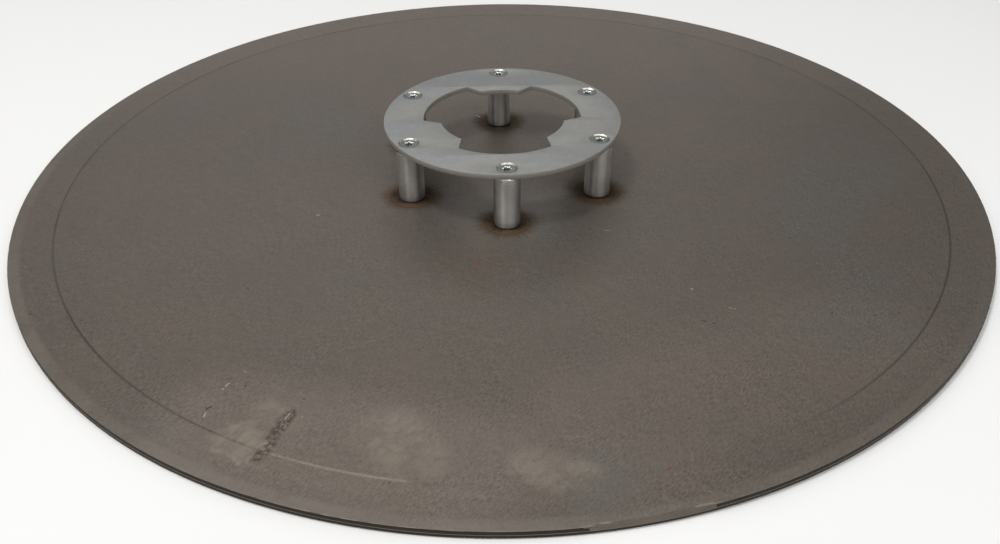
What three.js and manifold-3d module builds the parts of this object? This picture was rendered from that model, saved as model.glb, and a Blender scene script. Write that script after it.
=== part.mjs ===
// Steel trowelling disc with a three-lug bayonet drive ring on six welded stand-off bosses.
// Millimetres, +Z up. The origin is the centre of the flat underside of the disc.
// One lug of the drive ring and one of the six screws point along +Y.

import * as THREE from 'three';
import { mergeVertices } from 'three/addons/utils/BufferGeometryUtils.js';
import Module from 'manifold-3d';

// Trowelling disc: a flat sheet whose outer flange is turned up a little.
const DISC_RADIUS = 300;
const SHEET = 4;
const CREASE_RADIUS = 276;
const CREASE_BLEND = 1.5;
const RIM_RISE = 1.2;
const RIM_ROUND = 0.6;
const DISC_SEGMENTS = 128;

// Bayonet drive ring, laser-cut from plate.
const RING_RADIUS = 75;
const RING_PLATE = 3;
const RING_SEGMENTS = 96;
const GAP_RADIUS = 50;
const LUG_RADIUS = 39.5;
const LUG_COUNT = 3;
const LUG_ROOT_HALF_ANGLE = THREE.MathUtils.degToRad(25.9);
const LUG_TIP_HALF_ANGLE = THREE.MathUtils.degToRad(18.6);
const GAP_STEPS = 14;
const LUG_STEPS = 8;

// Stand-off bosses, one under each screw.
const BOSS_COUNT = 6;
const PITCH_RADIUS = 67;
const BOSS_RADIUS = 8;
const BOSS_LENGTH = 33;
const BOSS_FOOT_CHAMFER = 0.8;
const BOSS_TOP_CHAMFER = 0.5;
const BORE_RADIUS = 3.1;
const BORE_MOUTH_RADIUS = 3.7;
const BORE_DEPTH = 17;
const BOSS_SEGMENTS = 32;

// Weld neck between each boss and the sheet.
const WELD_RADIUS = 7;
const WELD_HEIGHT = 0.5;

// Countersunk M6 screws with a six-lobe recess.
const SCREW_SINK = 0.25;
const COUNTERSINK_RADIUS = 6.3;
const CLEARANCE_RADIUS = 3.4;
const HEAD_RADIUS = 5.85;
const HEAD_EDGE = 0.1;
const SHANK_RADIUS = 2.9;
const SCREW_LENGTH = 16;
const TIP_CHAMFER = 0.6;
const RECESS_MEAN_RADIUS = 2.4;
const RECESS_LOBE = 0.4;
const RECESS_DEPTH = 1.8;
const RECESS_STEPS = 36;
const SCREW_SEGMENTS = 24;

const BOSS_FOOT_Z = SHEET + WELD_HEIGHT;
const RING_Z = BOSS_FOOT_Z + BOSS_LENGTH;
const RING_TOP_Z = RING_Z + RING_PLATE;
const HEAD_TOP_Z = RING_TOP_Z - SCREW_SINK;

const wasm = await Module();
wasm.setup();

function toManifold(geometry) {
  const bare = geometry.clone();
  bare.deleteAttribute('normal');
  bare.deleteAttribute('uv');
  const merged = mergeVertices(bare, 1e-5);
  return new wasm.Manifold(new wasm.Mesh({
    numProp: 3,
    vertProperties: new Float32Array(merged.attributes.position.array),
    triVerts: new Uint32Array(merged.index.array),
  }));
}

function toGeometry(manifold) {
  const mesh = manifold.getMesh();
  const geometry = new THREE.BufferGeometry();
  geometry.setAttribute('position', new THREE.BufferAttribute(mesh.vertProperties, 3));
  geometry.setIndex(new THREE.BufferAttribute(mesh.triVerts, 1));
  geometry.computeVertexNormals();
  return geometry;
}

// Revolves [radius, height] pairs about the Z axis. The pairs run from the bottom of the
// axis outwards and back to the axis, so that the faces point out.
function revolve(profile, segments) {
  const points = profile.map(([radius, height]) => new THREE.Vector2(radius, height));
  const geometry = new THREE.LatheGeometry(points, segments);
  geometry.rotateX(Math.PI / 2);
  return geometry;
}

function discGeometry() {
  const slope = RIM_RISE / (DISC_RADIUS - CREASE_RADIUS);
  const blendRise = slope * CREASE_BLEND;
  const topAtRim = SHEET + RIM_RISE;
  return revolve([
    [0, 0],
    [CREASE_RADIUS - CREASE_BLEND, 0],
    [CREASE_RADIUS, blendRise / 4],
    [CREASE_RADIUS + CREASE_BLEND, blendRise],
    [DISC_RADIUS - RIM_ROUND, RIM_RISE - slope * RIM_ROUND],
    [DISC_RADIUS - RIM_ROUND * 0.3, RIM_RISE + RIM_ROUND * 0.3],
    [DISC_RADIUS, RIM_RISE + RIM_ROUND],
    [DISC_RADIUS, topAtRim - RIM_ROUND],
    [DISC_RADIUS - RIM_ROUND * 0.3, topAtRim - RIM_ROUND * 0.3],
    [DISC_RADIUS - RIM_ROUND, topAtRim - slope * RIM_ROUND],
    [CREASE_RADIUS + CREASE_BLEND, SHEET + blendRise],
    [CREASE_RADIUS, SHEET + blendRise / 4],
    [CREASE_RADIUS - CREASE_BLEND, SHEET],
    [0, SHEET],
  ], DISC_SEGMENTS);
}

function polar(radius, angle) {
  return new THREE.Vector2(radius * Math.cos(angle), radius * Math.sin(angle));
}

function arcPoints(radius, from, to, steps) {
  const points = [];
  for (let i = 0; i <= steps; i += 1) {
    points.push(polar(radius, from + ((to - from) * i) / steps));
  }
  return points;
}

// The opening: three lugs with slanted sides, and three wider gaps between them.
function bayonetOpening() {
  const pitch = (2 * Math.PI) / LUG_COUNT;
  const points = [];
  for (let i = 0; i < LUG_COUNT; i += 1) {
    const lug = Math.PI / 2 + i * pitch;
    const tip = arcPoints(LUG_RADIUS, lug - LUG_TIP_HALF_ANGLE, lug + LUG_TIP_HALF_ANGLE, LUG_STEPS);
    const gapStart = lug + LUG_ROOT_HALF_ANGLE;
    const gapEnd = lug + pitch - LUG_ROOT_HALF_ANGLE;
    points.push(...tip, ...arcPoints(GAP_RADIUS, gapStart, gapEnd, GAP_STEPS));
  }
  return new THREE.Path(points);
}

function screwAngle(i) {
  return Math.PI / 2 - (i * 2 * Math.PI) / BOSS_COUNT;
}

function countersinkCutter() {
  const coneDepth = COUNTERSINK_RADIUS - CLEARANCE_RADIUS;
  return revolve([
    [0, -1],
    [CLEARANCE_RADIUS, -1],
    [CLEARANCE_RADIUS, RING_PLATE - coneDepth],
    [COUNTERSINK_RADIUS + 1, RING_PLATE + 1],
    [0, RING_PLATE + 1],
  ], SCREW_SEGMENTS);
}

function ringGeometry() {
  const outline = new THREE.Shape(arcPoints(RING_RADIUS, 0, 2 * Math.PI, RING_SEGMENTS).slice(0, -1));
  outline.holes.push(bayonetOpening());
  const plate = new THREE.ExtrudeGeometry(outline, { depth: RING_PLATE, bevelEnabled: false });
  let ring = toManifold(plate);
  const cutter = toManifold(countersinkCutter());
  for (let i = 0; i < BOSS_COUNT; i += 1) {
    const at = polar(PITCH_RADIUS, screwAngle(i));
    ring = ring.subtract(cutter.translate([at.x, at.y, 0]));
  }
  return toGeometry(ring);
}

// A turned boss with a blind bore from its top, standing on z = 0.
function bossGeometry() {
  const mouthDepth = BORE_MOUTH_RADIUS - BORE_RADIUS;
  return revolve([
    [0, 0],
    [BOSS_RADIUS - BOSS_FOOT_CHAMFER, 0],
    [BOSS_RADIUS, BOSS_FOOT_CHAMFER],
    [BOSS_RADIUS, BOSS_LENGTH - BOSS_TOP_CHAMFER],
    [BOSS_RADIUS - BOSS_TOP_CHAMFER, BOSS_LENGTH],
    [BORE_MOUTH_RADIUS, BOSS_LENGTH],
    [BORE_RADIUS, BOSS_LENGTH - mouthDepth],
    [BORE_RADIUS, BOSS_LENGTH - BORE_DEPTH],
    [0, BOSS_LENGTH - BORE_DEPTH - BORE_RADIUS / 2],
  ], BOSS_SEGMENTS);
}

function weldGeometry() {
  return revolve([
    [0, 0],
    [WELD_RADIUS, 0],
    [WELD_RADIUS, WELD_HEIGHT],
    [0, WELD_HEIGHT],
  ], BOSS_SEGMENTS);
}

function recessCutter() {
  const points = [];
  for (let i = 0; i < RECESS_STEPS; i += 1) {
    const angle = (i * 2 * Math.PI) / RECESS_STEPS;
    points.push(polar(RECESS_MEAN_RADIUS + RECESS_LOBE * Math.cos(6 * angle), angle));
  }
  const lobes = new THREE.Shape(points);
  const cutter = new THREE.ExtrudeGeometry(lobes, { depth: RECESS_DEPTH + 1, bevelEnabled: false });
  cutter.translate(0, 0, -RECESS_DEPTH);
  return cutter;
}

// The top of the head is z = 0 and the screw hangs below it.
function screwGeometry() {
  const coneDepth = HEAD_RADIUS - SHANK_RADIUS;
  const body = revolve([
    [0, -SCREW_LENGTH],
    [SHANK_RADIUS - TIP_CHAMFER, -SCREW_LENGTH],
    [SHANK_RADIUS, -SCREW_LENGTH + TIP_CHAMFER],
    [SHANK_RADIUS, -HEAD_EDGE - coneDepth],
    [HEAD_RADIUS, -HEAD_EDGE],
    [HEAD_RADIUS, 0],
    [0, 0],
  ], SCREW_SEGMENTS);
  return toGeometry(toManifold(body).subtract(toManifold(recessCutter())));
}

const plainSteel = { color: 0x6b645e, roughness: 0.55, metalness: 0.9 };
const zincPlate = { color: 0xa9adad, roughness: 0.45, metalness: 0.85 };
const turnedSteel = { color: 0x9b9c9c, roughness: 0.3, metalness: 1.0 };
const zincScrew = { color: 0xc2c8c8, roughness: 0.22, metalness: 1.0 };
const scorchedSteel = { color: 0x2a211b, roughness: 0.8, metalness: 0.5 };

function addMesh(parent, name, geometry, look) {
  const mesh = new THREE.Mesh(geometry, new THREE.MeshStandardMaterial(look));
  mesh.name = name;
  parent.add(mesh);
  return mesh;
}

const group = new THREE.Group();

addMesh(group, 'trowel_disc', discGeometry(), plainSteel);

const ring = addMesh(group, 'bayonet_ring', ringGeometry(), zincPlate);
ring.position.z = RING_Z;

const boss = bossGeometry();
const weld = weldGeometry();
const screw = screwGeometry();
for (let i = 0; i < BOSS_COUNT; i += 1) {
  const station = new THREE.Group();
  const at = polar(PITCH_RADIUS, screwAngle(i));
  station.position.set(at.x, at.y, 0);
  group.add(station);
  addMesh(station, `boss_weld_${i + 1}`, weld, scorchedSteel).position.z = SHEET;
  addMesh(station, `boss_${i + 1}`, boss, turnedSteel).position.z = BOSS_FOOT_Z;
  addMesh(station, `screw_${i + 1}`, screw, zincScrew).position.z = HEAD_TOP_Z;
}

export default group;
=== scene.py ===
"""Looks of a steel trowelling disc with a bayonet drive ring on six stand-off bosses.

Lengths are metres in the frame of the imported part: +Z is up and the disc lies on z = 0.
"""

from math import atan2, ceil, cos, pi, radians, sin, tan

import bmesh
import bpy
from mathutils import Matrix, Vector, noise
from mathutils.geometry import tessellate_polygon


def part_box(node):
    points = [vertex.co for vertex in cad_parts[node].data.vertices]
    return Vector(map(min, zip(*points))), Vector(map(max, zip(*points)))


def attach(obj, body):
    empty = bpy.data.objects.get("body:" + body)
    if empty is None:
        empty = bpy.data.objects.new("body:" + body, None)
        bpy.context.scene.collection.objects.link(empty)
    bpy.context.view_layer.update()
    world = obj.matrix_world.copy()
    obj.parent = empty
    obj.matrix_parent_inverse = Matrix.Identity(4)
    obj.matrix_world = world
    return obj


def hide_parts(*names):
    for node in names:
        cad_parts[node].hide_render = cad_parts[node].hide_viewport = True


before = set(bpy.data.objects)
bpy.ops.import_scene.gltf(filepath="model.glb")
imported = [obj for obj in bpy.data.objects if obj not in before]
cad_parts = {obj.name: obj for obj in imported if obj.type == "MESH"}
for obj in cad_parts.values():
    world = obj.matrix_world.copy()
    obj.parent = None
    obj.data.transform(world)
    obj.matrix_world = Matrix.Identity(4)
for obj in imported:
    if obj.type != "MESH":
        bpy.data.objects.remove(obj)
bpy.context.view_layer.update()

MM = 0.001

# Trowelling disc.
DISC_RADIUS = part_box("trowel_disc")[1].x
SHEET = 4.0 * MM
CREASE_RADIUS = 276 * MM
CREASE_BLEND = 1.5 * MM
RIM_RISE = 1.2 * MM
DISC_STEPS = 720
GROOVE_DEPTH = 0.05 * MM
GROOVE_WIDTH = 0.6 * MM
SAG = 0.8 * MM
EDGE_LEDGE = 0.12 * MM
LEDGE_HEIGHT = 1.75 * MM
EDGE_CHAMFER = 0.2 * MM
FACET_START = radians(-85.5)
FACET_END = radians(-75.2)
FACET_START_BLEND = radians(1.6)
FACET_END_BLEND = radians(0.7)
FACET_WIDTH = 1.8 * MM
FACET_HEIGHT = 2.5 * MM
FACET_SHARES = (0.06, 0.06, 0.2, 0.55)
# The rim's rows that take the dark cut edge; the ledge, row 4, is left out and keeps the sheet's lighter
# colour as a painted highlight line.
DARK_ROWS = (2, 3, 5, 6, 7, 8)
FLAT_RADIUS = 90 * MM
DROOP = 1.6 * MM
DROOP_ANGLE = radians(-112)
DROOP_FULL = radians(20)
DROOP_NONE = radians(80)
BURR = 0.06 * MM

# Drive ring.
RING_LOW, RING_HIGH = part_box("bayonet_ring")
RING_RADIUS = RING_HIGH.x
RING_STEPS = 192
GAP_RADIUS = 50 * MM
LUG_RADIUS = 39.5 * MM
LUG_COUNT = 3
LUG_ROOT_HALF_ANGLE = radians(25.9)
LUG_TIP_HALF_ANGLE = radians(18.6)
GAP_STEPS = 40
LUG_STEPS = 20
CORNER_RADIUS = 0.5 * MM
PLATE_EDGE = 0.12 * MM
COUNTERSINK_RADIUS = 6.3 * MM
CLEARANCE_RADIUS = 3.4 * MM

# Bosses, welds and screws.
BOSS_COUNT = 6
PITCH_RADIUS = 67 * MM
BOSS_FOOT_RADIUS = 0.35 * MM
BOSS_TOP_CHAMFER = 0.8 * MM
BORE_RADIUS = 3.1 * MM
BORE_MOUTH_RADIUS = 3.7 * MM
BORE_DEPTH = 17 * MM
BOSS_STEPS = 96
WELD_RADIUS = 7.75 * MM
WELD_SPREAD = 0.4 * MM
SCREW_STEPS = 96
HEAD_RADIUS = 5.55 * MM
HEAD_SINK = 0.3 * MM
SHANK_RADIUS = 2.9 * MM
RECESS_RADIUS = 2.4 * MM
RECESS_LOBE = 0.4 * MM
RECESS_DEPTH = 1.5 * MM
THREAD_PITCH = 1.0 * MM
THREAD_DEPTH = 0.35 * MM

# Camera.
CAMERA_PLACE = Vector((-20.5, -554.3, 314.0)) * MM
CAMERA_TILT = radians(35.47)
CAMERA_TURN = radians(-2.64)
CAMERA_ROLL = -0.001
CAMERA_LENS = 34.55
CAMERA_SHIFT = -0.01047

# Studio.
FLOOR_Z = -1.0 * MM
FLOOR_RADIUS = 9.0
WORLD_COLOUR = (0.98, 0.99, 1.0, 1.0)
WORLD_STRENGTH = 0.20

# Soft lights: name, place, aim, width, height, watts and colour.
NEUTRAL = (1.0, 1.0, 1.0)
LIGHTS = [
    ("overhead", (-0.66, -0.36, 2.1), (0, 0, 0), 0.4, 0.4, 15.0, (1.0, 0.98, 0.95)),
    ("ceiling", (-0.3, -0.3, 2.1), (0, 0, 0), 3.0, 2.4, 21.0, (1.0, 0.99, 0.97)),
    ("left_bank", (-0.85, -1.15, 1.05), (0, 0, 0.02), 0.4, 0.9, 1.9, NEUTRAL),
    ("right_bank", (0.8, -1.05, 1.35), (0, 0, 0.02), 1.5, 0.7, 8.0, (0.97, 0.98, 1.0)),
    ("left_fill", (-1.5, 0.25, 1.2), (0, 0, 0.02), 0.6, 0.6, 1.2, NEUTRAL),
    ("right_fill", (1.4, 0.6, 1.1), (0, 0, 0.02), 0.6, 0.6, 0.5, (1.0, 0.98, 0.92)),
    ("back_bank", (-0.2, 2.1, 1.25), (0, 0, 0), 2.4, 0.5, 3.6, NEUTRAL),
    ("high_bank", (-0.1, 1.3, 1.5), (0, 0, 0), 1.2, 0.6, 1.0, NEUTRAL),
]


def srgb(red, green, blue):
    """A linear RGBA colour from 0-255 display values."""
    def linear(value):
        part = value / 255
        return part / 12.92 if part <= 0.04045 else ((part + 0.055) / 1.055) ** 2.4
    return (linear(red), linear(green), linear(blue), 1.0)


def smooth(value, low, high):
    """0 below low, 1 above high, and an S-curve between them."""
    part = min(1.0, max(0.0, (value - low) / (high - low)))
    return part * part * (3 - 2 * part)


def polar(radius, angle, z=0.0):
    return Vector((radius * cos(angle), radius * sin(angle), z))


def boss_angle(index):
    return pi / 2 - index * 2 * pi / BOSS_COUNT


# ---------------------------------------------------------------- materials

class Shader:
    """One material's node tree, with a short call for each kind of node."""

    def __init__(self, name):
        self.material = bpy.data.materials.new(name)
        self.material.use_nodes = True
        self.tree = self.material.node_tree
        self.surface = self.tree.nodes["Principled BSDF"]
        self.place = self.node("ShaderNodeTexCoord").outputs["Object"]

    def node(self, kind, **settings):
        made = self.tree.nodes.new(kind)
        for key, value in settings.items():
            setattr(made, key, value)
        return made

    def feed(self, socket, value):
        if isinstance(value, bpy.types.NodeSocket):
            self.tree.links.new(value, socket)
        else:
            socket.default_value = value

    def set(self, **inputs):
        """Feeds the surface: Base_Color is the socket named Base Color."""
        for key, value in inputs.items():
            self.feed(self.surface.inputs[key.replace("_", " ")], value)

    def math(self, operation, a, b=0.0, c=0.0, clamp=False):
        made = self.node("ShaderNodeMath", operation=operation, use_clamp=clamp)
        for socket, value in zip(made.inputs, (a, b, c)):
            self.feed(socket, value)
        return made.outputs[0]

    def vector(self, operation, a, b=(0.0, 0.0, 0.0), scale=1.0, out=0):
        made = self.node("ShaderNodeVectorMath", operation=operation)
        self.feed(made.inputs[0], a)
        if operation == "SCALE":
            self.feed(made.inputs[-1], scale)
        elif operation not in ("LENGTH", "NORMALIZE"):
            self.feed(made.inputs[1], b)
        return made.outputs[out]

    def length(self, a):
        return self.vector("LENGTH", a, out=1)

    def split(self, a):
        made = self.node("ShaderNodeSeparateXYZ")
        self.feed(made.inputs[0], a)
        return made.outputs

    def join(self, x, y, z):
        made = self.node("ShaderNodeCombineXYZ")
        for socket, value in zip(made.inputs, (x, y, z)):
            self.feed(socket, value)
        return made.outputs[0]

    def turn(self, a, angle):
        made = self.node("ShaderNodeVectorRotate", rotation_type="Z_AXIS")
        self.feed(made.inputs["Vector"], a)
        self.feed(made.inputs["Angle"], angle)
        return made.outputs[0]

    def noise(self, scale, detail=3.0, rough=0.5, bend=0.0, at=None):
        made = self.node("ShaderNodeTexNoise")
        self.feed(made.inputs["Vector"], self.place if at is None else at)
        self.feed(made.inputs["Scale"], scale)
        self.feed(made.inputs["Detail"], detail)
        self.feed(made.inputs["Roughness"], rough)
        self.feed(made.inputs["Distortion"], bend)
        return made.outputs[0]

    def range(self, value, low, high, to_low=0.0, to_high=1.0):
        made = self.node("ShaderNodeMapRange", interpolation_type="SMOOTHSTEP")
        for socket, item in zip(made.inputs, (value, low, high, to_low, to_high)):
            self.feed(socket, item)
        return made.outputs[0]

    def mix(self, amount, a, b, blend="MIX"):
        made = self.node("ShaderNodeMix", data_type="RGBA", blend_type=blend)
        self.feed(made.inputs[0], amount)
        self.feed(made.inputs[6], a)
        self.feed(made.inputs[7], b)
        return made.outputs[2]

    def shade(self, colour, factor):
        """The colour, or vector, times one factor."""
        start = colour[:3] if isinstance(colour, tuple) else colour
        return self.vector("SCALE", start, scale=factor)

    def dots(self, scale, size, share, at):
        """Small round specks in that share of the cells of a 2-D cell pattern."""
        made = self.node("ShaderNodeTexVoronoi", voronoi_dimensions="2D")
        self.feed(made.inputs["Vector"], at)
        self.feed(made.inputs["Scale"], scale)
        pick = self.split(made.outputs["Color"])
        radius = self.math("MULTIPLY", pick[1], size * scale)
        inside = self.range(self.math("DIVIDE", made.outputs["Distance"], radius), 1.0, 0.6)
        return self.math("MULTIPLY", inside, self.math("LESS_THAN", pick[0], share))

    def stroke(self, at, start, end, width):
        """1 along the line from start to end, fading out across width."""
        along = tuple(b - a for a, b in zip(start, end)) + (0.0,)
        square = sum(part * part for part in along)
        offset = self.vector("SUBTRACT", at, tuple(start) + (0.0,))
        reach = self.vector("DOT_PRODUCT", offset, along, out=1)
        part = self.math("DIVIDE", reach, square, clamp=True)
        nearest = self.vector("SCALE", along, scale=part)
        away = self.length(self.vector("SUBTRACT", offset, nearest))
        return self.range(away, width, width * 0.35)

    def strokes(self, at, lines):
        mask = None
        for start, end, width in lines:
            one = self.stroke(at, start, end, width)
            mask = one if mask is None else self.math("MAXIMUM", mask, one)
        return mask

    def bump(self, height, strength, distance, under=None):
        made = self.node("ShaderNodeBump")
        self.feed(made.inputs["Strength"], strength)
        self.feed(made.inputs["Distance"], distance)
        self.feed(made.inputs["Height"], height)
        if under is not None:
            self.feed(made.inputs["Normal"], under)
        return made.outputs[0]


def mm_line(x1, y1, x2, y2, width):
    return ((x1 * MM, y1 * MM), (x2 * MM, y2 * MM), width * MM)


# Marks on the top of the disc, each from one end to the other, then its width, in millimetres.
# Most places were read off the photo and turned into millimetres by a program.
PALE_FLECKS = [
    mm_line(-109.1, -230.7, -107.3, -226.9, 0.42),
    mm_line(-101.7, -229.4, -101.3, -229.6, 0.55),
    mm_line(-141.7, -208.8, -141.3, -209.0, 0.5),
    mm_line(-140.7, -206.9, -139.4, -204.8, 0.35),
    mm_line(-146.7, -227.6, -146.3, -224.7, 0.4),
    mm_line(-16.2, 78.4, -13.4, 75.0, 0.5),
    mm_line(97.2, -139.2, 97.6, -139.6, 0.6),
]
STRAW_FLECKS = [
    mm_line(-115.2, -53.4, -114.0, -53.4, 0.9),
    mm_line(-133.6, -196.4, -131.7, -197.6, 0.4),
    mm_line(57.1, -78.4, 60.0, -79.1, 0.4),
    mm_line(113.4, -156.9, 116.8, -158.6, 0.4),
    mm_line(-31.0, 29.5, -28.0, 28.5, 0.5),
]
RUST_FLECKS = [
    mm_line(-22.2, -103.9, -17.8, -108.2, 0.35),
    mm_line(-17.8, -108.2, -16.7, -113.1, 0.85),
    mm_line(-8.3, -112.1, -6.0, -112.7, 0.5),
    mm_line(-6.0, -112.7, -1.6, -114.3, 0.4),
    mm_line(13.4, -96.4, 13.8, -96.6, 1.0),
    mm_line(60.8, -269.3, 62.4, -269.0, 0.7),
    mm_line(-24.5, -263.0, -24.3, -261.6, 0.4),
]
SCRATCHES = [
    mm_line(131.2, -226.1, 140.3, -235.3, 0.4),
    mm_line(73.8, -250.0, 72.4, -266.0, 0.3),
    mm_line(72.5, -281.5, 92.0, -288.5, 0.4),
    mm_line(16.0, -247.0, 27.0, -249.0, 0.35),
    mm_line(-60.0, -170.0, -96.0, -186.0, 0.3),
    mm_line(-190.0, 40.0, -176.0, 66.0, 0.3),
    mm_line(150.0, 30.0, 172.0, 20.0, 0.3),
]
DARK_FLECKS = [
    mm_line(-131.6, -207.7, -131.0, -206.6, 0.7),
    mm_line(-102.5, -217.8, -102.1, -217.6, 0.75),
    mm_line(-146.6, -222.7, -144.7, -220.8, 0.8),
    mm_line(97.2, -167.2, 98.6, -168.0, 0.9),
    mm_line(102.6, -169.9, 103.0, -170.1, 0.7),
    mm_line(178.0, 90.0, 178.6, 90.4, 0.9),
    mm_line(84.2, 14.4, 84.6, 14.6, 0.9),
    mm_line(72.2, -37.2, 72.6, -37.6, 0.8),
]
# A painted highlight along the crease at the front left.
CREASE_PAINTED_HIGHLIGHT = mm_line(-112.0, -252.0, -56.0, -270.0, 7.0)
SMEAR = mm_line(-106.8, -227.6, -117.6, -255.0, 4.2)
SMUDGES = [
    mm_line(-131.2, -236.1, -124.7, -235.2, 5.0),
    mm_line(-124.7, -240.2, -117.6, -245.5, 7.0),
    mm_line(-138.1, -248.8, -125.1, -255.4, 2.6),
]
PALE_AREAS = [
    mm_line(-119.2, -224.3, -108.6, -234.0, 11.0),
    mm_line(-134.0, -243.0, -122.0, -250.0, 11.0),
    mm_line(-60.0, -240.0, -50.0, -256.0, 22.0),
    mm_line(2.0, -264.0, 22.0, -271.0, 15.0),
]

# Painted sheen: lighter zones at the front left, the front right and towards the back, fitted to the
# photo's brightness, which paint light and reflection into the steel's colour.
PAINTED_SHEEN_LEFT = mm_line(-138.0, -232.0, -30.0, -262.0, 48.0)
PAINTED_SHEEN_LEFT_GAIN = 0.28
PAINTED_SHEEN_RIGHT = mm_line(40.0, -245.0, 165.0, -185.0, 62.0)
PAINTED_SHEEN_RIGHT_GAIN = 0.16
PAINTED_SHEEN_BEHIND_FROM = 40 * MM
PAINTED_SHEEN_BEHIND_TO = 280 * MM
PAINTED_SHEEN_BEHIND = 1.24


def sheet_steel():
    """Mill-finish sheet: cloudy, fine-grained and smudged, with heat rings round the bosses."""
    s = Shader("sheet_steel")
    x, y, z = s.split(s.place)
    flat = s.join(x, y, 0.0)
    radius = s.length(flat)
    face_up = s.range(z, 1.7 * MM, 2.6 * MM)

    # Large clouds of warm and cool grey.
    cloud = s.noise(7.0, detail=4.0, rough=0.55, at=flat)
    drift = s.noise(22.0, detail=4.0, rough=0.6, bend=0.4, at=flat)
    warm = s.mix(s.range(drift, 0.3, 0.7), srgb(108, 99, 91), srgb(102, 94, 87))
    colour = s.mix(s.range(cloud, 0.50, 0.72, 0.0, 0.8), warm, srgb(101, 99, 94))

    # A leathery grain, finer streaks that slant up to the right, and soft mottling.
    slanted = s.vector("MULTIPLY", s.turn(flat, radians(38)), (1.0, 0.3, 1.0))
    streaky = s.noise(1150.0, detail=2.0, rough=0.6, at=slanted)
    leather = s.noise(820.0, detail=3.0, rough=0.7, bend=0.4, at=flat)
    grain = s.math("ADD", s.math("MULTIPLY", streaky, 0.55), s.math("MULTIPLY", leather, 0.45))
    patches = s.range(s.noise(30.0, detail=3.0, at=flat), 0.35, 0.7)
    grain_depth = s.math("MULTIPLY_ADD", patches, 0.9, 1.35)
    grain_shift = s.math("MULTIPLY", s.math("SUBTRACT", grain, 0.5), grain_depth)
    colour = s.shade(colour, s.math("ADD", grain_shift, 1.0))
    mottle = s.noise(160.0, detail=3.0, rough=0.6, at=flat)
    colour = s.shade(colour, s.range(mottle, 0.25, 0.75, 0.95, 1.05))
    colour = s.shade(colour, s.range(drift, 0.3, 0.7, 0.97, 1.03))

    # Heat rings, one round each boss, worked out about the nearest boss, and a painted shade ring close
    # round each boss's foot.
    sector = 2 * pi / BOSS_COUNT
    angle = s.math("SUBTRACT", s.math("ARCTAN2", y, x), pi / 2)
    nearest = s.math("MULTIPLY", s.math("ROUND", s.math("DIVIDE", angle, sector)), sector)
    folded = s.turn(flat, s.math("MULTIPLY", nearest, -1.0))
    local = s.vector("SUBTRACT", folded, (0.0, PITCH_RADIUS, 0.0))
    away = s.length(local)
    around = s.turn(s.vector("NORMALIZE", local), nearest)
    shifted = s.vector("ADD", around, s.join(0.0, 0.0, s.math("MULTIPLY", nearest, 3.0)))
    rays = s.math("SUBTRACT", s.noise(10.0, detail=5.0, rough=0.8, at=shifted), 0.5)
    wobble = s.math("SUBTRACT", s.noise(1.6, detail=2.0, at=shifted), 0.5)
    ragged = s.math("MULTIPLY_ADD", rays, 15.0 * MM, away)
    soft = s.math("MULTIPLY_ADD", wobble, 4.0 * MM, away)
    outline_radius = s.math("MULTIPLY_ADD", wobble, 1.4 * MM, away)
    side = s.math("ABSOLUTE", s.split(around)[0])
    behind = s.math("MAXIMUM", s.split(around)[1], 0.0)
    halo_reach = s.math("MULTIPLY_ADD", side, 2.6 * MM, 18.0 * MM)
    halo = s.range(s.math("SUBTRACT", ragged, halo_reach), 1.5 * MM, -6.5 * MM)
    flaming = s.math("MULTIPLY_ADD", rays, 4.0 * MM, outline_radius)
    tint = s.range(flaming, 15.0 * MM, 13.6 * MM)
    off_outline = s.math("ABSOLUTE", s.math("SUBTRACT", outline_radius, 14.1 * MM))
    outline = s.range(off_outline, 0.75 * MM, 0.1 * MM)
    outline = s.math("MULTIPLY", outline, s.range(rays, -0.12, 0.08))
    soot_reach = s.math("MULTIPLY_ADD", side, 4.4 * MM, 7.8 * MM)
    soot_reach = s.math("MULTIPLY_ADD", behind, 1.8 * MM, soot_reach)
    licked = s.math("MULTIPLY_ADD", rays, 9.0 * MM, soft)
    soot = s.range(s.math("SUBTRACT", licked, soot_reach), 1.8 * MM, -1.4 * MM)
    # A near-black ring just outside each weld: painted shade where the boss meets the sheet.
    seam_painted_shade = s.range(away, 9.0 * MM, 8.5 * MM)
    tint_cloud = s.range(s.noise(240.0, detail=4.0, rough=0.7, at=flat), 0.3, 0.7)
    flank = s.range(s.math("ADD", side, behind), 0.1, 0.9)
    brown = s.mix(flank, srgb(104, 84, 58), srgb(76, 56, 34))
    brown = s.mix(tint_cloud, brown, srgb(92, 70, 44))
    colour = s.mix(s.math("MULTIPLY", halo, 0.65), colour, srgb(78, 62, 44))
    colour = s.mix(s.math("MULTIPLY", tint, 0.85), colour, brown)
    colour = s.mix(s.math("MULTIPLY", outline, 0.5), colour, srgb(56, 40, 24))
    soot_share = s.range(tint_cloud, 0.0, 1.0, 0.9, 0.6)
    colour = s.mix(s.math("MULTIPLY", soot, soot_share), colour, srgb(40, 28, 17))
    colour = s.mix(s.math("MULTIPLY", seam_painted_shade, 0.95), colour, srgb(16, 12, 9))

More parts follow.
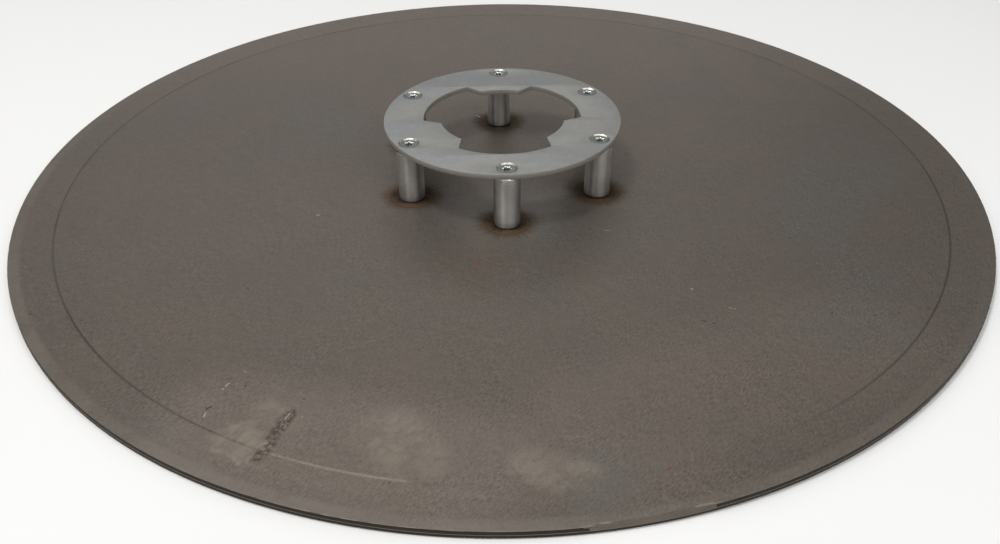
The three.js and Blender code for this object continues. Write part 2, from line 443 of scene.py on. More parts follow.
    # The bend line of the flange: painted shade along the crease, faint at the front, and a painted
    # highlight along one length at the front left.
    off_crease = s.math("ABSOLUTE", s.math("SUBTRACT", radius, CREASE_RADIUS))
    crease = s.range(off_crease, 1.0 * MM, 0.2 * MM)
    crease_painted_shade_share = s.range(s.noise(11.0, detail=3.0, at=flat), 0.3, 0.65, 0.4, 0.75)
    crease_shade_front_fade = s.math("MULTIPLY", s.range(y, -0.20, -0.25), s.range(x, -0.12, -0.10))
    crease_painted_shade_share = s.math("MULTIPLY", crease_painted_shade_share, s.math("MULTIPLY_ADD", crease_shade_front_fade, -0.85, 1.0))
    crease_painted_highlight = s.math("MULTIPLY", s.stroke(flat, *CREASE_PAINTED_HIGHLIGHT), s.range(off_crease, 1.0 * MM, 0.3 * MM))
    colour = s.mix(s.math("MULTIPLY", crease, crease_painted_shade_share), colour, srgb(64, 59, 55))
    crease_painted_highlight_share = s.range(leather, 0.35, 0.6, 0.35, 0.7)
    colour = s.mix(s.math("MULTIPLY", crease_painted_highlight, crease_painted_highlight_share), colour, srgb(142, 133, 122))

    # Smudges, rubbed spots, one dark smear at the front left, and painted sheen at the front and towards
    # the back.
    brushed = s.vector("MULTIPLY", s.turn(flat, radians(38)), (1.0, 0.22, 1.0))
    streaks = s.noise(300.0, detail=4.0, rough=0.7, at=brushed)
    blotch = s.range(s.noise(70.0, detail=4.0, rough=0.65, bend=0.6, at=flat), 0.38, 0.60)
    bend_x = s.math("SUBTRACT", s.noise(90.0, detail=2.0, at=flat), 0.5)
    bend_y = s.math("SUBTRACT", blotch, 0.5)
    bent = s.vector("ADD", flat, s.shade(s.join(bend_x, bend_y, 0.0), 3.0 * MM))
    smudge = s.math("MULTIPLY", s.strokes(bent, SMUDGES), s.range(blotch, 0.0, 1.0, 0.55, 1.0))
    area = s.math("MULTIPLY", s.strokes(bent, PALE_AREAS), s.range(blotch, 0.0, 1.0, 0.25, 0.7))
    pale = s.math("MULTIPLY", s.math("MAXIMUM", smudge, area), s.range(streaks, 0.3, 0.65, 0.45, 1.0))
    # Painted sheen: the steel's colour is lightened at the front left, at the front right and towards the
    # back, where light and reflection fall.
    left = s.math("MULTIPLY", s.stroke(flat, *PAINTED_SHEEN_LEFT), s.range(drift, 0.25, 0.6, 0.5, 1.0))
    right = s.stroke(flat, *PAINTED_SHEEN_RIGHT)
    colour = s.shade(colour, s.math("MULTIPLY_ADD", left, PAINTED_SHEEN_LEFT_GAIN, 1.0))
    colour = s.shade(colour, s.math("MULTIPLY_ADD", right, PAINTED_SHEEN_RIGHT_GAIN, 1.0))
    colour = s.shade(colour, s.range(y, PAINTED_SHEEN_BEHIND_FROM, PAINTED_SHEEN_BEHIND_TO, 1.0, PAINTED_SHEEN_BEHIND))
    colour = s.mix(s.math("MULTIPLY", pale, 0.75), colour, srgb(150, 141, 127))
    lumps = s.range(s.noise(420.0, detail=3.0, rough=0.7, at=flat), 0.40, 0.54)
    smear = s.math("MULTIPLY", s.stroke(bent, *SMEAR), lumps)
    colour = s.mix(s.math("MULTIPLY", smear, 0.75), colour, srgb(62, 52, 41))

    # Specks, flecks and scratches.
    colour = s.mix(s.math("MULTIPLY", s.dots(55.0, 0.9 * MM, 0.2, flat), 0.55), colour, srgb(56, 49, 43))
    colour = s.mix(s.math("MULTIPLY", s.dots(38.0, 0.7 * MM, 0.10, flat), 0.4), colour, srgb(150, 134, 112))
    broken = s.range(s.noise(180.0, detail=2.0, at=flat), 0.35, 0.6)
    crumbled = s.range(s.noise(900.0, detail=2.0, at=flat), 0.38, 0.55, 0.25, 1.0)
    scratch = s.math("MULTIPLY", s.strokes(flat, SCRATCHES), broken)
    colour = s.mix(s.math("MULTIPLY", scratch, 0.5), colour, srgb(142, 133, 122))
    for marks, share, shade in (
        (DARK_FLECKS, 0.8, srgb(40, 36, 33)),
        (RUST_FLECKS, 1.0, srgb(140, 70, 22)),
        (STRAW_FLECKS, 0.85, srgb(196, 160, 120)),
        (PALE_FLECKS, 0.8, srgb(204, 196, 184)),
    ):
        mask = s.math("MULTIPLY", s.strokes(flat, marks), crumbled)
        colour = s.mix(s.math("MULTIPLY", mask, share), colour, shade)

    # The last few millimetres before the rim are rubbed brighter, with a painted highlight that is
    # strongest at the front left.
    polish = s.math("MULTIPLY", s.range(radius, 292.0 * MM, 295.5 * MM), s.range(drift, 0.3, 0.6, 0.3, 1.0))
    painted_highlight_side = s.range(s.vector("DOT_PRODUCT", flat, (-0.5, -0.86, 0.0), out=1), -0.05, 0.25, 0.15, 1.0)
    colour = s.mix(s.math("MULTIPLY", s.math("MULTIPLY", polish, painted_highlight_side), 0.45), colour, srgb(134, 127, 118))

    # The underside is rubbed to brighter rings by its work.
    worn = s.noise(1500.0, detail=2.0, at=s.join(radius, 0.0, 0.0))
    under = s.shade(srgb(126, 120, 113), s.range(worn, 0.3, 0.7, 0.85, 1.12))
    under = s.shade(under, s.range(cloud, 0.3, 0.7, 0.9, 1.1))
    colour = s.mix(face_up, under, colour)

    soiled = s.math("MAXIMUM", soot, halo)
    roughness = s.math("MULTIPLY_ADD", grain_shift, 0.2, s.range(cloud, 0.3, 0.7, 0.42, 0.47))
    roughness = s.math("MULTIPLY_ADD", soiled, 0.2, roughness)
    s.set(Base_Color=colour, Metallic=0.5, Roughness=roughness, Specular_IOR_Level=0.45)
    relief = s.bump(mottle, 0.12, 1.0 * MM)
    relief = s.bump(grain, s.math("MULTIPLY_ADD", patches, 0.15, 0.16), 0.4 * MM, relief)
    s.set(Normal=relief)
    return s.material


def cut_edge():
    """The sheared and oxidised rim of the sheet."""
    s = Shader("cut_edge")
    x, y, z = s.split(s.place)
    around = s.math("MULTIPLY", s.math("ARCTAN2", y, x), 60.0)
    column = s.noise(14.0, detail=4.0, rough=0.7, at=s.join(around, s.math("MULTIPLY", z, 300.0), 0.0))
    stain = s.noise(18.0, detail=3.0)
    colour = s.mix(s.range(column, 0.3, 0.75), srgb(38, 32, 27), srgb(64, 56, 48))
    colour = s.mix(s.range(stain, 0.55, 0.75, 0.0, 0.5), colour, srgb(70, 57, 46))
    s.set(Base_Color=colour, Metallic=0.15, Roughness=s.range(column, 0.2, 0.8, 0.75, 0.6))
    s.set(Specular_IOR_Level=0.2, Normal=s.bump(column, 0.35, 0.15 * MM))
    return s.material


def ground_facet():
    """The short length of rim that has been ground to a bevel."""
    s = Shader("ground_facet")
    x, y, z = s.split(s.place)
    along = s.math("MULTIPLY", s.math("ARCTAN2", y, x), 30.0)
    lines = s.noise(6.0, detail=3.0, rough=0.6, at=s.join(along, s.math("MULTIPLY", z, 900.0), 0.0))
    cloud = s.noise(90.0, detail=3.0)
    colour = s.mix(s.range(lines, 0.3, 0.7), srgb(106, 98, 89), srgb(124, 115, 105))
    colour = s.shade(colour, s.range(cloud, 0.3, 0.7, 0.9, 1.08))
    s.set(Base_Color=colour, Metallic=0.6, Roughness=s.range(lines, 0.3, 0.7, 0.5, 0.42))
    s.set(Normal=s.bump(lines, 0.12, 0.1 * MM))
    return s.material


def zinc_plate():
    """Zinc-plated plate: a fine matt bloom with very faint blue and straw clouds."""
    s = Shader("zinc_plate")
    cloud = s.noise(28.0, detail=3.0, rough=0.5)
    straw = s.noise(19.0, detail=3.0, rough=0.5, at=s.vector("ADD", s.place, (0.7, 0.2, 0.0)))
    fine = s.noise(900.0, detail=3.0, rough=0.6)
    bloom = s.noise(210.0, detail=4.0, rough=0.65)
    colour = s.mix(s.range(cloud, 0.42, 0.68), srgb(155, 155, 152), srgb(150, 152, 153))
    colour = s.mix(s.range(straw, 0.50, 0.70, 0.0, 0.5), colour, srgb(157, 154, 148))
    colour = s.shade(colour, s.range(bloom, 0.3, 0.7, 0.95, 1.05))
    colour = s.shade(colour, s.range(fine, 0.3, 0.7, 0.95, 1.05))
    flat = s.vector("MULTIPLY", s.place, (1.0, 1.0, 0.0))
    pale = s.math("MULTIPLY", s.dots(160.0, 0.6 * MM, 0.25, flat), 0.3)
    colour = s.mix(pale, colour, srgb(182, 181, 175))
    s.set(Base_Color=colour, Metallic=0.6, Roughness=s.range(bloom, 0.3, 0.7, 0.47, 0.53))
    s.set(Normal=s.bump(fine, 0.14, 0.15 * MM))
    return s.material


def zinc_cut():
    """Laser-cut side faces of the plate, with fine upright striations under the zinc."""
    s = Shader("zinc_cut")
    x, y, z = s.split(s.place)
    around = s.math("MULTIPLY", s.math("ARCTAN2", y, x), 160.0)
    lines = s.noise(3.0, detail=4.0, rough=0.6, at=s.join(around, s.math("MULTIPLY", z, 60.0), 0.0))
    cloud = s.noise(40.0, detail=3.0)
    colour = s.mix(s.range(lines, 0.3, 0.7), srgb(164, 161, 153), srgb(184, 181, 172))
    colour = s.mix(s.range(cloud, 0.5, 0.7, 0.0, 0.4), colour, srgb(172, 173, 171))
    s.set(Base_Color=colour, Metallic=0.55, Roughness=s.range(lines, 0.3, 0.7, 0.42, 0.5))
    s.set(Normal=s.bump(lines, 0.3, 0.12 * MM))
    return s.material


def countersink_zinc():
    """Freshly cut cones round the screw heads, painted a bright cream as their highlight."""
    s = Shader("countersink_zinc")
    fine = s.noise(1500.0, detail=2.0)
    cloud = s.noise(320.0, detail=3.0)
    colour = s.mix(s.range(cloud, 0.4, 0.6), srgb(222, 219, 206), srgb(178, 177, 168))
    s.set(Base_Color=colour, Metallic=1.0, Roughness=s.range(cloud, 0.35, 0.65, 0.2, 0.34))
    s.set(Normal=s.bump(fine, 0.15, 0.05 * MM))
    return s.material


def turned_steel():
    """Bright turned bar: fine feed marks round it, and a brown scorch at the weld."""
    s = Shader("turned_steel")
    x, _, z = s.split(s.place)
    low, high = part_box("boss_1")
    feed = s.noise(5200.0, detail=2.0, rough=0.6, at=s.join(0.0, 0.0, z))
    coarse = s.noise(900.0, detail=2.0, at=s.join(0.0, 0.0, z))
    handled = s.noise(90.0, detail=4.0, rough=0.6)
    colour = s.mix(s.range(handled, 0.35, 0.7), srgb(208, 207, 205), srgb(222, 221, 217))
    colour = s.shade(colour, s.range(feed, 0.25, 0.75, 0.9, 1.06))
    near_top = s.range(z, high.z - 7 * MM, high.z - 2 * MM)
    score = s.math("MULTIPLY", s.range(coarse, 0.56, 0.62), near_top)
    score = s.math("MULTIPLY", score, s.range(s.noise(260.0, detail=2.0), 0.42, 0.58))
    colour = s.mix(s.math("MULTIPLY", score, 0.5), colour, srgb(90, 88, 84))
    chamfer = s.range(z, high.z - BOSS_TOP_CHAMFER - 0.12 * MM, high.z - BOSS_TOP_CHAMFER)
    # The chamfer is painted bright on the two bosses on the Y axis, a painted highlight, and dull on the
    # other four, a painted shade.
    on_y_axis = s.range(s.math("ABSOLUTE", x), 30 * MM, 12 * MM)
    chamfer_glint_and_shade = s.mix(on_y_axis, srgb(112, 111, 108), srgb(226, 225, 222))
    colour = s.mix(chamfer, colour, chamfer_glint_and_shade)
    foot_z = low.z - SAG
    scorch_edge = s.math("MULTIPLY_ADD", s.math("SUBTRACT", handled, 0.5), 8.0 * MM, foot_z + 2.2 * MM)
    scorch = s.range(s.math("SUBTRACT", z, scorch_edge), 2.2 * MM, -2.0 * MM)
    colour = s.mix(s.math("MULTIPLY", scorch, 0.35), colour, srgb(146, 130, 114))
    burnt = s.range(z, foot_z + 0.3 * MM, foot_z + 0.05 * MM)
    colour = s.mix(s.math("MULTIPLY", burnt, 0.85), colour, srgb(40, 34, 30))
    roughness = s.math("MULTIPLY_ADD", chamfer, -0.1, s.range(handled, 0.3, 0.7, 0.36, 0.44))
    s.set(Base_Color=colour, Metallic=1.0, Roughness=roughness)
    s.set(Anisotropic=0.85, Anisotropic_Rotation=0.25)
    tangent = s.node("ShaderNodeTangent", direction_type="RADIAL", axis="Z")
    s.set(Tangent=tangent.outputs[0])
    s.set(Normal=s.bump(s.math("ADD", feed, coarse), 0.25, 0.05 * MM))
    return s.material


def weld_scale():
    """Black, glassy scale on the weld necks."""
    s = Shader("weld_scale")
    lumps = s.noise(700.0, detail=4.0, rough=0.65)
    colour = s.mix(s.range(lumps, 0.35, 0.7), srgb(16, 13, 11), srgb(44, 33, 25))
    s.set(Base_Color=colour, Metallic=0.2, Roughness=s.range(lumps, 0.3, 0.7, 0.45, 0.75))
    s.set(Normal=s.bump(lumps, 0.6, 0.2 * MM))
    return s.material


def screw_zinc():
    """Dull zinc on the screw heads and shanks."""
    s = Shader("screw_zinc")
    fine = s.noise(2400.0, detail=2.0)
    cloud = s.noise(260.0, detail=3.0)
    colour = s.mix(s.range(cloud, 0.35, 0.65), srgb(136, 138, 133), srgb(126, 129, 127))
    s.set(Base_Color=colour, Metallic=0.9, Roughness=s.range(fine, 0.3, 0.7, 0.4, 0.5))
    s.set(Normal=s.bump(fine, 0.1, 0.05 * MM))
    return s.material


def recess_zinc():
    """The six-lobe recess: its mouth painted brighter than the head's zinc as a painted highlight, over a
    floor darkened to blue-green as painted shade.
    """
    s = Shader("recess_zinc")
    z = s.split(s.place)[2]
    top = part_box("screw_1")[1].z - HEAD_SINK
    fine = s.noise(2400.0, detail=2.0)
    recess_painted_shade = s.range(z, top - 0.65 * MM, top - 1.15 * MM)
    recess_painted_highlight = s.mix(s.range(fine, 0.3, 0.7), srgb(212, 215, 212), srgb(228, 229, 225))
    colour = s.mix(s.math("MULTIPLY", recess_painted_shade, 0.95), recess_painted_highlight, srgb(62, 88, 94))
    s.set(Base_Color=colour, Metallic=0.95, Roughness=s.range(fine, 0.3, 0.7, 0.24, 0.34))
    s.set(Normal=s.bump(fine, 0.1, 0.05 * MM))
    return s.material


def studio_floor():
    s = Shader("studio_floor")
    cloud = s.noise(3.0, detail=2.0)
    colour = s.mix(cloud, srgb(242, 242, 241), srgb(246, 246, 245))
    s.set(Base_Color=colour, Roughness=0.9, Specular_IOR_Level=0.1)
    return s.material


# ------------------------------------------------------------------- meshes

def finished(name, mesh_data, materials, sharp=30.0):
    """Closes off a bmesh as a smooth-shaded object, with edges that bend more than the sharp angle kept
    sharp.
    """
    bmesh.ops.recalc_face_normals(mesh_data, faces=mesh_data.faces)
    mesh = bpy.data.meshes.new(name)
    mesh_data.to_mesh(mesh)
    mesh_data.free()
    for material in materials:
        mesh.materials.append(material)
    mesh.shade_smooth()
    mesh.set_sharp_from_angle(angle=radians(sharp))
    made = bpy.data.objects.new(name, mesh)
    bpy.context.scene.collection.objects.link(made)
    return made


def skin(name, levels, steps, materials, sharp=30.0, centre=(0.0, 0.0), paint=None):
    """Joins levels into one closed skin. A level is a Vector, for a pole, or a function
    from an angle to a Vector. paint gives the material index from a level number and angle."""
    built = bmesh.new()
    shift = Vector((*centre, 0.0))
    loops = []
    for level in levels:
        if isinstance(level, Vector):
            loops.append([built.verts.new(level + shift)])
        else:
            angles = [2 * pi * i / steps for i in range(steps)]
            loops.append([built.verts.new(level(angle) + shift) for angle in angles])
    for number, (first, second) in enumerate(zip(loops, loops[1:])):
        for i in range(steps):
            after = (i + 1) % steps
            corners = [first[i % len(first)], first[after % len(first)],
                       second[after % len(second)], second[i % len(second)]]
            unique = list(dict.fromkeys(corners))
            face = built.faces.new(unique)
            if paint is not None:
                face.material_index = paint(number, 2 * pi * (i + 0.5) / steps)
    return finished(name, built, materials, sharp)


def circle(radius, z):
    return lambda angle: polar(radius, angle, z)


def flange_rise(radius):
    """How far the sheet has risen at a radius: nothing inside the crease, a slope outside."""
    slope = RIM_RISE / (DISC_RADIUS - CREASE_RADIUS)
    past = radius - CREASE_RADIUS
    if past <= -CREASE_BLEND:
        return 0.0
    if past >= CREASE_BLEND:
        return slope * past
    return slope * (past + CREASE_BLEND) ** 2 / (4 * CREASE_BLEND)


def sheet_wave(radius, angle):
    """The slow warp of the sheet. Its middle, where the bosses stand, is drawn down a little
    and flat."""
    outward = smooth(radius, FLAT_RADIUS, DISC_RADIUS)
    sag = -SAG * smooth(radius, CREASE_RADIUS, FLAT_RADIUS)
    turn = (angle - DROOP_ANGLE + pi) % (2 * pi) - pi
    on_flange = max(0.0, radius - CREASE_RADIUS) / (DISC_RADIUS - CREASE_RADIUS)
    droop = -DROOP * smooth(abs(turn), DROOP_NONE, DROOP_FULL) * on_flange
    ripple = 0.12 * sin(2 * angle + 0.7) + 0.10 * sin(5 * angle + 2.1) + 0.06 * sin(9 * angle)
    return sag + droop + ripple * MM * outward


def top_point(radius, extra=0.0):
    def at(angle):
        groove = GROOVE_DEPTH * smooth(abs(radius - CREASE_RADIUS), GROOVE_WIDTH, 0.0)
        z = SHEET + flange_rise(radius) + sheet_wave(radius, angle) - groove + extra
        return polar(radius, angle, z)
    return at


def bottom_point(radius):
    return lambda angle: polar(radius, angle, flange_rise(radius) + sheet_wave(radius, angle))


def facet_share(angle):
    """1 on the ground length of the rim and 0 elsewhere."""
    turn = (angle + pi) % (2 * pi) - pi
    rise = smooth(turn, FACET_START - FACET_START_BLEND, FACET_START + FACET_START_BLEND)
    fall = smooth(turn, FACET_END + FACET_END_BLEND, FACET_END - FACET_END_BLEND)
    return min(rise, fall)


def rim_roughness(angle, row):
    """A small uneven burr, different on each row of the rim."""
    place = polar(14.0 + row, angle, row * 3.1)
    return BURR * noise.noise(place * 4)


def rim_point(inward, drop, row):
    """A point of the rim profile, from how far it lies inside the edge and below the top.
    Each is given plain and on the ground facet."""
    def at(angle):
        share = facet_share(angle)
        inside = inward[0] * (1 - share) + inward[1] * share
        down = drop[0] * (1 - share) + drop[1] * share
        burr = rim_roughness(angle, row)
        z = SHEET + flange_rise(DISC_RADIUS) + sheet_wave(DISC_RADIUS, angle) - down
        return polar(DISC_RADIUS - inside + burr, angle, z + burr)
    return at


def disc_piece(steel, edge, facet):
    radii = [0.02 * i for i in range(1, 13)]
    radii += [0.25, 0.26, 0.268, 0.272, 0.274, 0.2751, 0.2755, 0.2758, 0.276, 0.2762, 0.2765,
              0.2769, 0.278, 0.281, 0.285, 0.289, 0.292, 0.295, 0.297]
    top = [Vector((0, 0, SHEET - SAG))] + [top_point(radius) for radius in radii]
    wide, tall = FACET_WIDTH, FACET_HEIGHT
    chamfer, ledge, step = EDGE_CHAMFER, EDGE_LEDGE, SHEET - LEDGE_HEIGHT
    rim = [
        rim_point((chamfer + 0.5 * MM, wide + 0.25 * MM), (0.03 * MM, 0.08 * MM), 0),
        rim_point((chamfer + ledge, wide), (0.04 * MM, 0.14 * MM), 1),
        rim_point((ledge + 0.10 * MM, wide * 0.66), (chamfer * 0.4, tall * 0.36), 2),
        rim_point((ledge, wide * 0.33), (chamfer, tall * 0.68), 3),
        rim_point((ledge, 0.04 * MM), (step - 0.12 * MM, tall), 4),
        rim_point((0.04 * MM, 0.02 * MM), (step + 0.10 * MM, tall + 0.1 * MM), 5),
        rim_point((0.0, 0.0), (step + 0.22 * MM, tall + 0.2 * MM), 6),
        rim_point((0.0, 0.0), (SHEET - 0.35 * MM, SHEET - 0.35 * MM), 7),
        rim_point((0.12 * MM, 0.12 * MM), (SHEET - 0.08 * MM, SHEET - 0.08 * MM), 8),
        rim_point((0.5 * MM, 0.5 * MM), (SHEET, SHEET), 9),
    ]
    under = [bottom_point(radius) for radius in reversed(radii)] + [Vector((0, 0, -SAG))]
    first_rim = len(top)

    def paint(number, angle):
        row = number - first_rim
        if 0 <= row < len(FACET_SHARES) and facet_share(angle) > FACET_SHARES[row]:
            return 2
        # Rows 0, 1, 4 and 9 keep the sheet's colour; on row 4, the narrow ledge, this lighter colour paints
        # a highlight line along the rim.
        return 1 if row in DARK_ROWS else 0

    made = skin("steel_disc", top + rim + under, DISC_STEPS, [steel, edge, facet], 35.0, paint=paint)
    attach(made, "root")
    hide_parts("trowel_disc")


def rounded_corners(loop, radius, steps=4):
    """The closed loop with each sharp corner turned into a short arc."""
    made = []
    for i, corner in enumerate(loop):
        before = (corner - loop[i - 1]).normalized()
        after = (loop[(i + 1) % len(loop)] - corner).normalized()
        turn = atan2(before.x * after.y - before.y * after.x, before.dot(after))
        if abs(turn) < radians(15):
            made.append(corner)
            continue
        reach = radius * tan(abs(turn) / 2)
        for k in range(steps + 1):
            part = k / steps
            one = corner - before * reach * (1 - part)
            two = corner + after * reach * part
            made.append(one.lerp(two, part))
    return made


def inset(loop, distance):
    """The closed loop moved to its left by a distance, with mitred corners."""
    made = []
    for i, corner in enumerate(loop):
        before = (corner - loop[i - 1]).normalized()
        after = (loop[(i + 1) % len(loop)] - corner).normalized()
        left_before = Vector((-before.y, before.x, 0))
        left_after = Vector((-after.y, after.x, 0))
        shift = (left_before + left_after) / (1 + left_before.dot(left_after))
        made.append(corner + shift * distance)
    return made


def bayonet_opening():
    """The opening, clockwise: three lugs with slanted sides and the gaps between them."""
    loop = []
    pitch = 2 * pi / LUG_COUNT
    for i in range(LUG_COUNT):
        lug = pi / 2 + i * pitch
        for k in range(LUG_STEPS + 1):
            part = 2 * k / LUG_STEPS - 1
            loop.append(polar(LUG_RADIUS, lug + LUG_TIP_HALF_ANGLE * part))
        gap = pitch - 2 * LUG_ROOT_HALF_ANGLE
        for k in range(GAP_STEPS + 1):
            loop.append(polar(GAP_RADIUS, lug + LUG_ROOT_HALF_ANGLE + gap * k / GAP_STEPS))
    loop.reverse()
    return rounded_corners(loop, CORNER_RADIUS)


def ring_piece(plate, cut, cone):
    """The ring: caps top and bottom, and walls that step down each contour."""
    low, high, edge = RING_LOW.z, RING_HIGH.z, PLATE_EDGE
    walls = [(edge, high), (edge * 0.3, high - edge * 0.3), (0.0, high - edge),
             (0.0, low + edge), (edge * 0.3, low + edge * 0.3), (edge, low)]
    wall_paint = (0, 0, 1, 1, 1)
    flare = COUNTERSINK_RADIUS - CLEARANCE_RADIUS
    hole = [(flare + 0.18 * MM, high), (flare + 0.05 * MM, high - 0.05 * MM),
            (flare - 0.08 * MM, high - 0.2 * MM), (0.0, high - flare), (0.0, low)]
    outer = [polar(RING_RADIUS, 2 * pi * i / RING_STEPS) for i in range(RING_STEPS)]
    contours = [(outer, walls, wall_paint), (bayonet_opening(), walls, wall_paint)]
    for i in range(BOSS_COUNT):
        at = polar(PITCH_RADIUS, boss_angle(i))
        turns = [-2 * pi * k / SCREW_STEPS for k in range(SCREW_STEPS)]
        contours.append(([at + polar(CLEARANCE_RADIUS, turn) for turn in turns], hole, (0, 2, 2, 1)))
    built = bmesh.new()
    tops, bottoms = [], []
    for loop, levels, paint in contours:
        rows = []
        for distance, z in levels:
            row = [Vector((point.x, point.y, z)) for point in inset(loop, distance)]
            rows.append([built.verts.new(point) for point in row])
        for number, (first, second) in enumerate(zip(rows, rows[1:])):
            for k in range(len(first)):
                after = (k + 1) % len(first)
                face = built.faces.new((first[k], first[after], second[after], second[k]))
                face.material_index = paint[number]
        tops.append(rows[0])
        bottoms.append(rows[-1])
    for cap in (tops, bottoms):
        flat = [vertex for row in cap for vertex in row]
        for corners in tessellate_polygon([[vertex.co for vertex in row] for row in cap]):
            built.faces.new([flat[k] for k in corners])
    made = finished("drive_ring", built, [plate, cut, cone], 40.0)
    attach(made, "root")
    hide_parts("bayonet_ring")


def boss_piece(index, steel):
    low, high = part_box(f"boss_{index + 1}")
    at = polar(PITCH_RADIUS, boss_angle(index))
    radius = (high.x - low.x) / 2
    foot_z = low.z - SAG
    foot = [circle(radius - BOSS_FOOT_RADIUS * (1 - sin(turn)), foot_z + BOSS_FOOT_RADIUS * (1 - cos(turn)))
            for turn in (radians(15 * k) for k in range(7))]
    body = [circle(radius, foot_z + (high.z - foot_z) * part / 8) for part in range(1, 8)]
    head = [
        circle(radius, high.z - BOSS_TOP_CHAMFER - 0.08 * MM),
        circle(radius - 0.04 * MM, high.z - BOSS_TOP_CHAMFER),
        circle(radius - BOSS_TOP_CHAMFER, high.z - 0.04 * MM),
        circle(radius - BOSS_TOP_CHAMFER - 0.08 * MM, high.z),
        circle(BORE_MOUTH_RADIUS, high.z),
        circle(BORE_RADIUS, high.z - (BORE_MOUTH_RADIUS - BORE_RADIUS)),
        circle(BORE_RADIUS, high.z - BORE_DEPTH),
        Vector((0, 0, high.z - BORE_DEPTH - BORE_RADIUS / 2)),
    ]
    levels = [Vector((0, 0, foot_z))] + foot + body + head
    made = skin(f"standoff_boss_{index + 1}", levels, BOSS_STEPS, [steel], 40.0, centre=at.xy)
    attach(made, "root")
    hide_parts(f"boss_{index + 1}")


def weld_piece(index, scale):
    low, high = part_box(f"boss_weld_{index + 1}")
    at = polar(PITCH_RADIUS, boss_angle(index))

    def bead(radius, z, rough):
        def point(angle):
            lump = noise.noise(polar(2.2, angle, index * 7.0 + z / MM))
            fine = noise.noise(polar(7.0, angle, index * 5.0 + z / MM))
            return polar(radius + rough * (lump + 0.5 * fine), angle, z)
        return point

    foot_z = low.z - SAG
    levels = [
        Vector((0, 0, foot_z)),
        bead(WELD_RADIUS + WELD_SPREAD, foot_z, 0.25 * MM),
        bead(WELD_RADIUS + WELD_SPREAD * 0.5, foot_z + 0.1 * MM, 0.2 * MM),
        bead(WELD_RADIUS, foot_z + 0.25 * MM, 0.12 * MM),
        bead(WELD_RADIUS - 0.4 * MM, high.z - SAG, 0.08 * MM),
        Vector((0, 0, high.z - SAG)),
    ]
    made = skin(f"weld_neck_{index + 1}", levels, BOSS_STEPS, [scale], 50.0, centre=at.xy)
    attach(made, "root")
    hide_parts(f"boss_weld_{index + 1}")


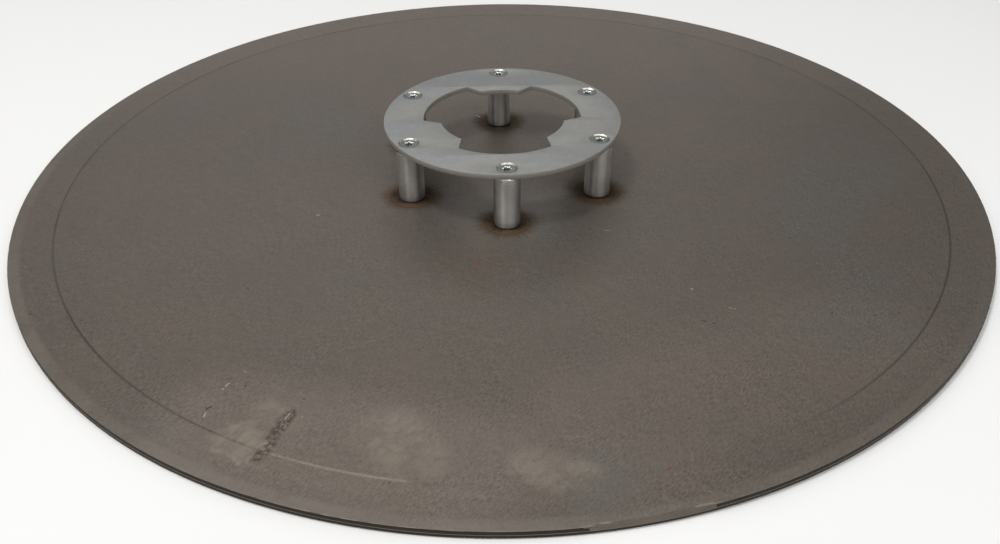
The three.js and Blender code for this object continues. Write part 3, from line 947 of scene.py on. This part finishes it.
def screw_piece(index, zinc, recess_skin):
    low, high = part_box(f"screw_{index + 1}")
    at = polar(PITCH_RADIUS, boss_angle(index))
    top = high.z - HEAD_SINK
    twist = index * radians(37)

    def lobed(extra, z):
        def point(angle):
            wave = RECESS_RADIUS + RECESS_LOBE * cos(6 * (angle - twist))
            return polar(wave + extra, angle, z)
        return point

    def threaded(z):
        def point(angle):
            turn = (z / THREAD_PITCH - angle / (2 * pi)) % 1.0
            return polar(SHANK_RADIUS - THREAD_DEPTH * (1 - abs(2 * turn - 1)), angle, z)
        return point

    floor = top - RECESS_DEPTH
    recess = [
        Vector((0, 0, floor)),
        lobed(-0.12 * MM, floor),
        lobed(0.0, floor + 0.15 * MM),
        lobed(0.0, top - 0.4 * MM),
        lobed(0.06 * MM, top - 0.32 * MM),
        lobed(0.34 * MM, top - 0.04 * MM),
        lobed(0.42 * MM, top),
    ]
    head = [
        circle(4.2 * MM, top),
        circle(HEAD_RADIUS - 0.45 * MM, top - 0.01 * MM),
        circle(HEAD_RADIUS - 0.2 * MM, top - 0.07 * MM),
        circle(HEAD_RADIUS - 0.05 * MM, top - 0.18 * MM),
        circle(HEAD_RADIUS, top - 0.34 * MM),
        circle(HEAD_RADIUS - 0.12 * MM, top - 0.46 * MM),
        circle(SHANK_RADIUS, top - 0.4 * MM - (HEAD_RADIUS - SHANK_RADIUS)),
    ]
    thread_top = top - 4.4 * MM
    thread_low = low.z + 0.7 * MM
    rows = ceil((thread_top - thread_low) / THREAD_PITCH * 6)
    shank = [threaded(thread_top + (thread_low - thread_top) * k / rows) for k in range(rows + 1)]
    tip = [circle(SHANK_RADIUS - 0.7 * MM, low.z), Vector((0, 0, low.z))]
    levels = recess + head + shank + tip

    def paint(number, angle):
        return 1 if number < len(recess) - 1 else 0

    made = skin(f"socket_screw_{index + 1}", levels, SCREW_STEPS, [zinc, recess_skin], 50.0,
                centre=at.xy, paint=paint)
    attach(made, "root")
    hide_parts(f"screw_{index + 1}")


# ------------------------------------------------------------------- studio

def floor_piece():
    built = bmesh.new()
    rim = [built.verts.new(polar(FLOOR_RADIUS, 2 * pi * i / 64, FLOOR_Z)) for i in range(64)]
    built.faces.new(rim)
    made = finished("studio_floor", built, [studio_floor()])


def soft_light(name, place, target, width, height, power, colour):
    data = bpy.data.lights.new(name, "AREA")
    data.shape = "RECTANGLE"
    data.size = width
    data.size_y = height
    data.energy = power
    data.color = colour
    made = bpy.data.objects.new(name, data)
    made.location = place
    aim = Vector(target) - Vector(place)
    made.rotation_euler = aim.to_track_quat("-Z", "Y").to_euler()
    made.visible_camera = False
    bpy.context.scene.collection.objects.link(made)


def studio():
    world = bpy.data.worlds.new("studio_world")
    world.use_nodes = True
    backdrop = world.node_tree.nodes["Background"]
    backdrop.inputs["Color"].default_value = WORLD_COLOUR
    backdrop.inputs["Strength"].default_value = WORLD_STRENGTH
    bpy.context.scene.world = world
    for light in LIGHTS:
        soft_light(*light)


def camera():
    data = bpy.data.cameras.new("camera")
    data.lens = CAMERA_LENS
    data.shift_x = CAMERA_SHIFT
    data.clip_start = 0.01
    data.clip_end = 50
    made = bpy.data.objects.new("camera", data)
    look = Matrix.Rotation(CAMERA_TURN, 4, "Z") @ Matrix.Rotation(pi / 2 - CAMERA_TILT, 4, "X")
    made.matrix_world = Matrix.Translation(CAMERA_PLACE) @ look @ Matrix.Rotation(CAMERA_ROLL, 4, "Z")
    bpy.context.scene.collection.objects.link(made)
    bpy.context.scene.camera = made


camera()
studio()
floor_piece()
disc_piece(sheet_steel(), cut_edge(), ground_facet())
ring_piece(zinc_plate(), zinc_cut(), countersink_zinc())
turned, scale = turned_steel(), weld_scale()
zinc, recess = screw_zinc(), recess_zinc()
for station in range(BOSS_COUNT):
    weld_piece(station, scale)
    boss_piece(station, turned)
    screw_piece(station, zinc, recess)
bpy.context.scene.view_settings.view_transform = "Standard"
